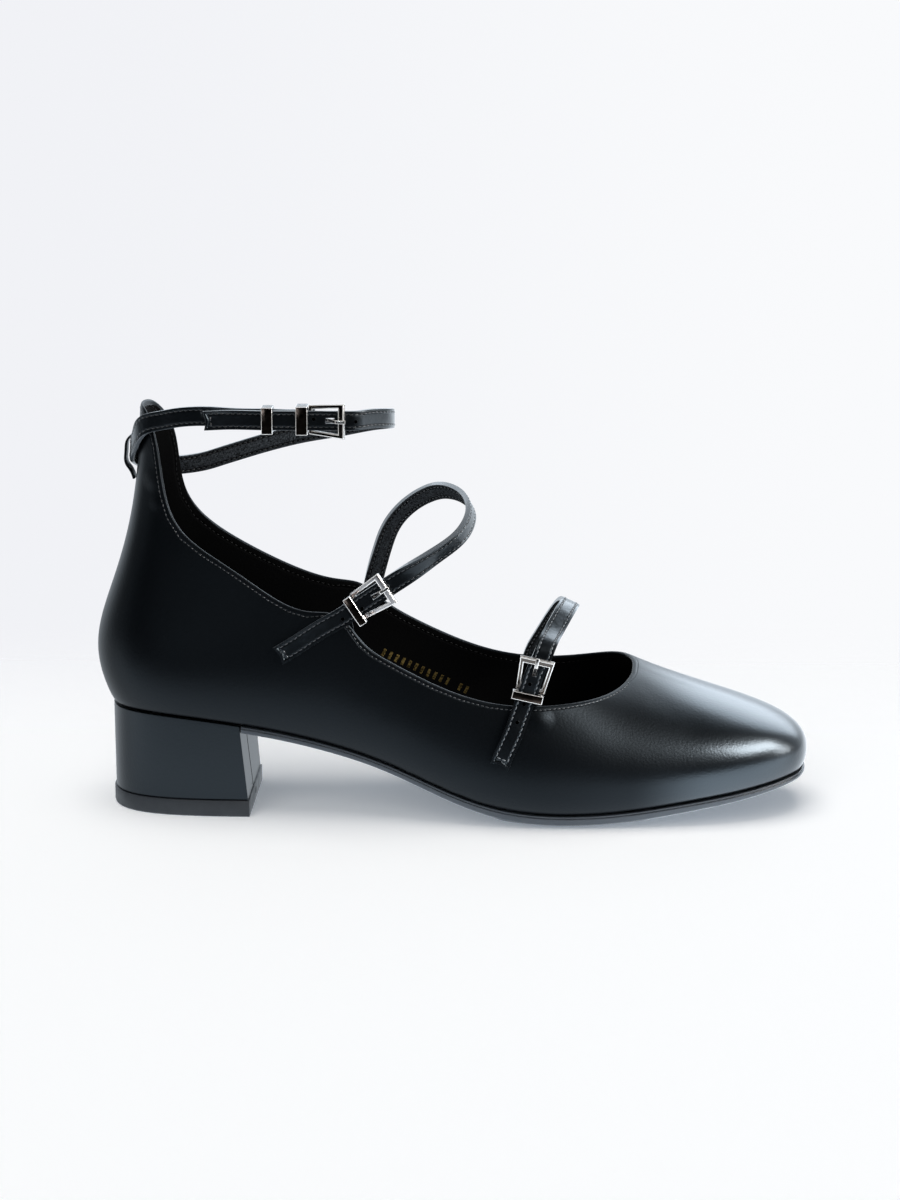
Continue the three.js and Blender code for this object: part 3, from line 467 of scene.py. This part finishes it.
def lay_copies(name, shape, seats, slot, material, sunk=0.0):
    """Copies of a small piece laid on seats, as one mesh. The small piece itself goes."""
    corners = [v.co.copy() for v in shape.data.vertices]
    faces = [tuple(f.vertices) for f in shape.data.polygons]
    all_corners = []
    all_faces = []
    for spot, turn in seats:
        first = len(all_corners)
        all_corners += [spot + turn @ (corner - Vector((0, 0, sunk * MM))) for corner in corners]
        all_faces += [tuple(first + i for i in face) for face in faces]
    mesh = bpy.data.meshes.new(name)
    mesh.from_pydata(all_corners, [], all_faces)
    bpy.data.objects.remove(shape)
    laid = bpy.data.objects.new(name, mesh)
    bpy.context.scene.collection.objects.link(laid)
    shade(laid, 50)
    settle(laid, slot, material)


def sew(name, paths, cloth, slot, material, spacing=2.0, length=1.3, width=0.46, height=0.4):
    """Closed rows of stitches laid on a piece's surface. All sizes are in millimetres."""
    surface = surface_of(cloth)
    seats = [seat(surface, at, along) for path in paths for at, along in walk(path, spacing * MM)]
    lay_copies(name, model_stitch(length * MM, width * MM, height * MM), seats, slot, material, 0.02)


def model_disc(diameter, height):
    bpy.ops.mesh.primitive_uv_sphere_add(segments=16, ring_count=8, radius=0.5)
    disc = bpy.context.object
    edit(disc, (bpy.ops.transform.resize, dict(value=(diameter, diameter, height))))
    return disc


def model_ring(radius, wire):
    bpy.ops.mesh.primitive_torus_add(major_segments=20, minor_segments=6, major_radius=radius,
                                     minor_radius=wire)
    return bpy.context.object


def model_bar(width, height, thickness):
    bpy.ops.mesh.primitive_cube_add(size=1)
    bar = bpy.context.object
    edit(bar, (bpy.ops.transform.resize, dict(value=(width, height, thickness))))
    return bar


def punch(name, cloth, spots, slot, rim, diameter=1.3):
    """Small punched holes: a dull black disc of painted shade for the hollow, with a raised rim where a
    material is given for it.
    """
    surface = surface_of(cloth)
    seats = [seat(surface, Vector(spot) * MM, Vector((1, 0, 0.2))) for spot in spots]
    lay_copies(name, model_disc(diameter * MM, 0.1 * MM), seats, slot, hole_and_seam_shade)
    if rim is not None:
        lay_copies(name + "_rims", model_ring(diameter * 0.55 * MM, 0.12 * MM), seats, slot, rim)


# Upper

def rim_row(surface, rim, depth_mm):
    """The rim's line moved down the wall by a depth."""
    row = []
    for i, point in enumerate(rim):
        along = (rim[(i + 1) % len(rim)] - rim[i - 1]).normalized()
        _, normal, _, _ = surface.find_nearest(point)
        down = along.cross(normal).normalized()
        if down.z > 0:
            down = -down
        row.append(point + down * depth_mm * MM)
    return row


upper = take_over("upper", "upper_leather")
# Of the chains of sharp edges, the two highest on average are the rim's outer and inner edge
loops = sorted(sharp_loops(upper, CREASE), key=lambda loop: -sum(p.z for p in loop) / len(loop))
outer_rim, inner_rim = sorted(loops[:2], key=length_of, reverse=True)
middle_of_hollow = Vector((0.06, 0, 0.06))
bm = bmesh.new()
bm.from_mesh(upper.data)
inside = {f.index for f in skin_faces(bm, middle_of_hollow, CREASE)}
bm.free()
for face in upper.data.polygons:
    face.material_index = 1 if face.index in inside else 0
subdivide(upper, 2)
mark_distance(upper, "from_edge", [outer_rim, inner_rim])
shade(upper)
settle(upper, "upper_leather", upper_leather, lining)
upper_surface = surface_of(upper)
sew("rim_stitches", [rim_row(upper_surface, outer_rim, RIM_SEAM_MM)], upper, "upper_leather",
    threads["rim"], spacing=1.75, length=1.15, width=0.42, height=0.34)
sew("lining_stitches", [rim_row(upper_surface, inner_rim, LINING_SEAM_MM)], upper, "upper_leather",
    threads["lining"], width=0.36, height=0.3)

# A short row of plain foil bars inside the inner quarter, and two more after a gap
row_start = Vector((73.5, 30, 49)) * MM
row_step = Vector((2.42, 0.3, -1.2)) * MM
foil_seats = [seat(upper_surface, row_start + row_step * i, row_step) for i in [*range(11), 12, 13]]
lay_copies("foil_bars", model_bar(1.15 * MM, 3.0 * MM, 0.08 * MM), foil_seats, "upper_leather", gold_foil)


# Insole, outsole and heel

insole = take_over("insole", "insole_sock")
round_edges(insole, 0.5 * MM)
subdivide(insole, 1)
shade(insole)
settle(insole, "insole_leather", sock_skin)

outsole = take_over("outsole", "outsole_rubber")
round_edges(outsole, 0.25 * MM)
subdivide(outsole, 1)
shade(outsole, 50)
settle(outsole, "outsole_rubber", sole_rubber)

heel = take_over("heel", "heel_wrap")
round_edges(heel, 0.7 * MM, 3)
subdivide(heel, 1)
shade(heel, 60)
settle(heel, "heel_leather", heel_leather)
# The wrap's butted seam runs down the breast, drawn as a row of black bars of painted shade
heel_surface = surface_of(heel)
breast_line = [Vector((23.4, -9.0, 33)) * MM, Vector((26.6, -5.6, 5.5)) * MM]
seam_seats = [seat(heel_surface, at, along) for at, along in walk(breast_line, 2 * MM, False)]
lay_copies("breast_seam_shade", model_bar(2.1 * MM, 0.9 * MM, 0.08 * MM), seam_seats, "heel_leather",
           hole_and_seam_shade)

heel_cap = take_over("heel_cap", "top_piece")
round_edges(heel_cap, 0.35 * MM)
shade(heel_cap, 40)
settle(heel_cap, "cap_rubber", cap_rubber)
# The cap's pinhole is a dull black disc of painted shade
punch("cap_pinhole", heel_cap, [(27.5, -1, 3.2)], "cap_rubber", None, 2.8)


# Straps

def inset(line, other, depth):
    """A chain of points moved toward another chain."""
    moved = []
    for point in line:
        nearest = min(other, key=lambda q: (q - point).length)
        moved.append(point + (nearest - point).normalized() * depth)
    return moved


def turns(loop):
    """How sharply a closed chain turns at each of its points."""
    angles = []
    for i, point in enumerate(loop):
        before = (point - loop[i - 1]).normalized()
        after = (loop[(i + 1) % len(loop)] - point).normalized()
        angles.append(before.angle(after, 0))
    return angles


def trimmed(chain, margin):
    """A chain cut short by a margin at both ends."""
    total = length_of(chain)
    kept = []
    gone = 0.0
    for a, b in zip(chain, chain[1:]):
        span = (b - a).length
        for mark in (margin, total - margin):
            if gone <= mark < gone + span:
                kept.append(a.lerp(b, (mark - gone) / span))
        gone += span
        if margin < gone < total - margin:
            kept.append(b)
    return kept


def seam_of(faces, depth_mm, margin_mm):
    """The outline of a strip of faces, and the closed seam that runs inside it.

    The outline turns most at the strip's four corners, which part its two long sides from its ends.
    """
    border = {e for f in faces for e in f.edges if sum(g in faces for g in e.link_faces) == 1}
    outline = max(([v.co.copy() for v in chain] for chain in chains(border)), key=length_of)
    angles = turns(outline)
    corners = sorted(sorted(range(len(outline)), key=lambda i: -angles[i])[:4])
    around = outline[corners[0]:] + outline[:corners[0]]
    marks = [c - corners[0] for c in corners] + [len(outline)]
    sides = sorted(((around + around[:1])[a:b + 1] for a, b in zip(marks, marks[1:])), key=length_of)[2:]
    if around.index(sides[0][0]) > around.index(sides[1][0]):
        sides.reverse()
    first, second = sides
    there, back = (trimmed(inset(side, other, depth_mm * MM), margin_mm * MM)
                   for side, other in [(first, second), (second, first)])
    return outline, there + back


def dress_strap(node, seed, holes):
    """A strap: leather face, edges with a pale painted highlight, napped back, holes, and a seam round both
    faces.

    The seed is a place in front of the leather face, and it and the holes are in millimetres.
    """
    strap = take_over(node, node + "_leather")
    bm = bmesh.new()
    bm.from_mesh(strap.data)
    face_side = skin_faces(bm, Vector(seed) * MM, CREASE)
    edges = {g for f in face_side for e in f.edges for g in e.link_faces} - face_side
    back_side = set(bm.faces) - face_side - edges
    kinds = {f.index: 0 for f in face_side} | {f.index: 1 for f in edges} | {f.index: 2 for f in back_side}
    outline, face_seam = seam_of(face_side, STRAP_SEAM_MM, STRAP_SEAM_END_MM)
    back_outline, back_seam = seam_of(back_side, STRAP_SEAM_MM, STRAP_SEAM_END_MM)
    bm.free()
    for face in strap.data.polygons:
        face.material_index = kinds[face.index]
    round_edges(strap, 0.3 * MM, 2, CREASE)
    subdivide(strap, 2)
    mark_distance(strap, "from_edge", [outline, back_outline])
    shade(strap, 60)
    settle(strap, "strap_leather", strap_leather, strap_edge_highlight, strap_backing_with_sheen)
    sew(node + "_stitches", [face_seam, back_seam], strap, "strap_leather", threads[node])
    punch(node + "_holes", strap, holes, "strap_leather", strap_leather)


dress_strap("strap_front", (125, -90, 45), [(129, -40, 54), (127, -40, 47), (124.6, -40, 40.5)])
dress_strap("strap_middle", (45, -90, 75), [(69, -40, 81), (62, -40, 77.3)])
dress_strap("strap_ankle", (30, -30, 147), [(68, -32, 147), (60, -32, 147.5), (52, -32, 148)])


# Small leather

for node, width_mm in [("buckle_tab_front", 0.12), ("buckle_tab_middle", 0.12), ("tab_loop", 0.2)]:
    piece = take_over(node, node + "_leather")
    round_edges(piece, width_mm * MM, 2, CREASE)
    subdivide(piece, 2)
    shade(piece, 60)
    settle(piece, "strap_leather", plain_leather)


# Metal

def plate(node, finish, width_mm=0.17):
    """A cast and polished fitting with its edges rounded, their new faces given a pale painted highlight."""
    piece = take_over(node, node + "_metal")
    for metal in (finish, edge_highlight_nickel):
        piece.data.materials.append(metal)
    round_edges(piece, width_mm * MM, 3, 30, material=1)
    shade(piece, 35)
    settle(piece, "buckle_metal")


# Frames take the plate's painted shade, the middle frame a lighter painted tone, prongs its painted
# highlight, keepers and slider a brownish painted deep shade
for place, finish in [("front", nickel), ("middle", half_lit_nickel), ("ankle", nickel)]:
    plate("buckle_frame_" + place, finish)
    plate("buckle_prong_" + place, prong_highlight_nickel, 0.25)
    plate("buckle_keeper_" + place, brownish_shaded_nickel, 0.25)
plate("ankle_slider", brownish_shaded_nickel, 0.25)


# Studio

COOL = "#dfeaf4"
WARM = "#f3f1ef"
SUN_SPREAD = 48  # degrees
FLOOR_CENTRE = (0.1, 0, 0)
LIT_PLACE = (0.15, 0.0, 0.03)  # what the boxes turn toward
CAMERA_PLACE = (0.12506, -0.97596, 0.29282)
CAMERA_TARGET = (0.09951, 0, 0.07638)


def turned(thing, name, at, toward):
    """Puts a lamp or a camera into the scene, looking from one place toward another."""
    placed = bpy.data.objects.new(name, thing)
    placed.location = at
    placed.rotation_euler = (Vector(toward) - Vector(at)).to_track_quat("-Z", "Y").to_euler()
    bpy.context.scene.collection.objects.link(placed)
    return placed


def place_sun(name, at, strength):
    """A wide soft sun that lights the floor and stays out of the gloss."""
    light = bpy.data.lights.new(name, "SUN")
    light.angle = math.radians(SUN_SPREAD)
    light.energy = strength
    light.color = linear("#fffaf4")[:3]
    turned(light, name, at, (0, 0, 0)).visible_glossy = False


def place_box(name, at, size, strength, colour):
    """A soft box that only shines in the leather and the metal."""
    light = bpy.data.lights.new(name, "AREA")
    light.shape = "RECTANGLE"
    light.size, light.size_y = size
    light.energy = strength
    light.color = linear(colour)[:3]
    turned(light, name, at, LIT_PLACE).visible_diffuse = False


def make_floor():
    """A pale matt sweep that melts into the backdrop away from the shoe.

    Its pattern's places are measured from the floor's centre, which is under the middle of the shoe.
    """
    bpy.ops.mesh.primitive_circle_add(vertices=64, radius=1.2, fill_type="NGON", location=FLOOR_CENTRE)
    floor = bpy.context.object
    floor.name = "studio_floor"
    material, tree, shader, place = new_finish(
        "pale matt sweep", "#f0f2f4", Roughness=0.8, Specular_IOR_Level=0.1,
        Emission_Color=linear("#dfe8f2"), Emission_Strength=0.24)
    parts = add_node(tree, "SeparateXYZ", None, {0: place})
    forward = parts.outputs["Y"]
    away = add_node(tree, "VectorMath", {"operation": "LENGTH"}, {0: place}).outputs["Value"]
    fade = add_node(tree, "Math", {"operation": "MAXIMUM"},
                    {0: ramp(tree, away, 0.4, 1.1, 0.0, 1.0),
                     1: ramp(tree, forward, 0.05, 0.3, 0.0, 1.0)}).outputs["Value"]
    clear = add_node(tree, "BsdfTransparent").outputs["BSDF"]
    seen = add_node(tree, "MixShader", None, {0: fade, 1: shader.outputs["BSDF"], 2: clear})
    # To the gloss of the leather the pale table ends a little in front of the shoe, dims behind it
    # and is brighter under the toe
    near = multiply(tree, ramp(tree, forward, -0.27, -0.06, 0.04, 2.4),
                    ramp(tree, forward, -0.05, 0.0, 1.0, 0.5))
    near = multiply(tree, near, ramp(tree, parts.outputs["X"], 0.03, 0.12, 1.0, 2.2))
    table = add_node(tree, "Emission", {"Color": linear("#e4edf5")}, {"Strength": near})
    glossy = add_node(tree, "LightPath").outputs["Is Glossy Ray"]
    mixed = add_node(tree, "MixShader", None,
                     {0: glossy, 1: seen.outputs["Shader"], 2: table.outputs["Emission"]})
    tree.links.new(mixed.outputs["Shader"], tree.nodes["Material Output"].inputs["Surface"])
    floor.data.materials.append(material)


def light_room():
    """Pale backdrop to the eye; to the leather's gloss it is bright behind the shoe and dark in front."""
    world = bpy.data.worlds.new("studio")
    bpy.context.scene.world = world
    world.use_nodes = True
    tree = world.node_tree
    tree.nodes.clear()
    toward = add_node(tree, "TexCoord").outputs["Generated"]
    parts = add_node(tree, "SeparateXYZ", None, {0: toward})
    path = add_node(tree, "LightPath")
    backdrop = blend(tree, ramp(tree, parts.outputs["X"], -0.19, 0.14, 0.0, 1.0), "#f1f2f6", "#f9fafc")
    seen = add_node(tree, "Background", None, {"Color": backdrop})
    fill = add_node(tree, "Background", {"Color": linear("#eaf1fb"), "Strength": 0.16})
    behind = ramp(tree, parts.outputs["Y"], 0.0, 0.8, 0.01, 1.5)
    gloss = add_node(tree, "Background", {"Color": linear(COOL)}, {"Strength": behind})
    felt = add_node(tree, "MixShader", None,
                    {0: path.outputs["Is Glossy Ray"], 1: fill.outputs["Background"],
                     2: gloss.outputs["Background"]})
    both = add_node(tree, "MixShader", None,
                    {0: path.outputs["Is Camera Ray"], 1: felt.outputs["Shader"],
                     2: seen.outputs["Background"]})
    output = add_node(tree, "OutputWorld")
    tree.links.new(both.outputs["Shader"], output.inputs["Surface"])


make_floor()
light_room()
place_sun("high_sun", (-0.1, -0.06, 1.0), 1.8)
place_sun("front_sun", (-0.25, -1.0, 0.7), 1.05)
place_box("toe_strip", (0.86, -0.36, 0.6), (0.66, 0.36), 27.0, WARM)
place_box("toe_edge_box", (1.0, -0.12, 0.27), (0.3, 0.3), 5.0, WARM)
place_box("back_box", (0.6, 0.76, 0.62), (0.65, 0.75), 8.0, COOL)
place_box("back_left_box", (-0.2, 0.9, 0.8), (0.7, 0.5), 2.4, COOL)
place_box("left_box", (-0.9, -0.25, 0.45), (0.3, 0.6), 0.4, COOL)
place_box("quarter_box", (-0.28, -0.98, 0.19), (0.16, 0.1), 0.35, COOL)

camera = bpy.data.cameras.new("camera")
camera.sensor_width = 36
camera.lens = 81.18
camera.clip_start = 0.05
bpy.context.scene.camera = turned(camera, "camera", CAMERA_PLACE, CAMERA_TARGET)
bpy.context.scene.view_settings.view_transform = "Standard"
